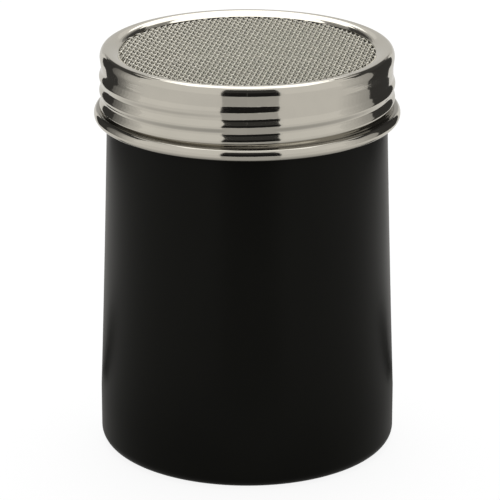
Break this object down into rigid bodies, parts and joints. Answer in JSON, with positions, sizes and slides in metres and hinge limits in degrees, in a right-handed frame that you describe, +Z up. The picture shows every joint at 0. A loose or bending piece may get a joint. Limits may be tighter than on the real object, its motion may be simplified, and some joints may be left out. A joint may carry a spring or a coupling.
{
  "type": "mesh-top shaker",
  "caption": "Round kitchen shaker: a black coated metal can, a screw-on steel lid with a rolled thread, and a fine woven wire screen held under the rim for sprinkling spice, sugar or flour.",
  "frame": {"origin": "centre of the flat ring that the can stands on", "axes": "+Z up the can's axis and out through the screen; +X to the right and +Y away as the shaker is seen from the front, where the middle of the rolled thread lies level"},
  "size_m": [0.0716, 0.0716, 0.0966],
  "materials": {
    "can_coat": "satin black baked coat on drawn steel",
    "lid_steel": "bright stainless steel with a fine turned polish",
    "screen_wire": "plain drawn stainless wire, woven"
  },
  "bodies": {
    "can": {"can": "can_coat"},
    "retaining_ring": {"retaining_ring": "lid_steel"},
    "lid": {"lid_shell": "lid_steel", "upper_wires": "screen_wire", "lower_wires": "screen_wire"}
  },
  "joints": [
    {"name": "lid_lift", "type": "slide", "parent": "can", "child": "retaining_ring", "axis": [0, 0, 1], "range_m": [0, 0.0168]},
    {"name": "lid_turn", "type": "hinge", "parent": "retaining_ring", "child": "lid", "pos_m": [0, 0, 0.0943], "axis": [0, 0, 1], "range_deg": [0, 1800]}
  ],
  "couplings": [
    {"joint": "lid_lift", "follows": "lid_turn", "m_per_rad": 0.00053317}
  ]
}
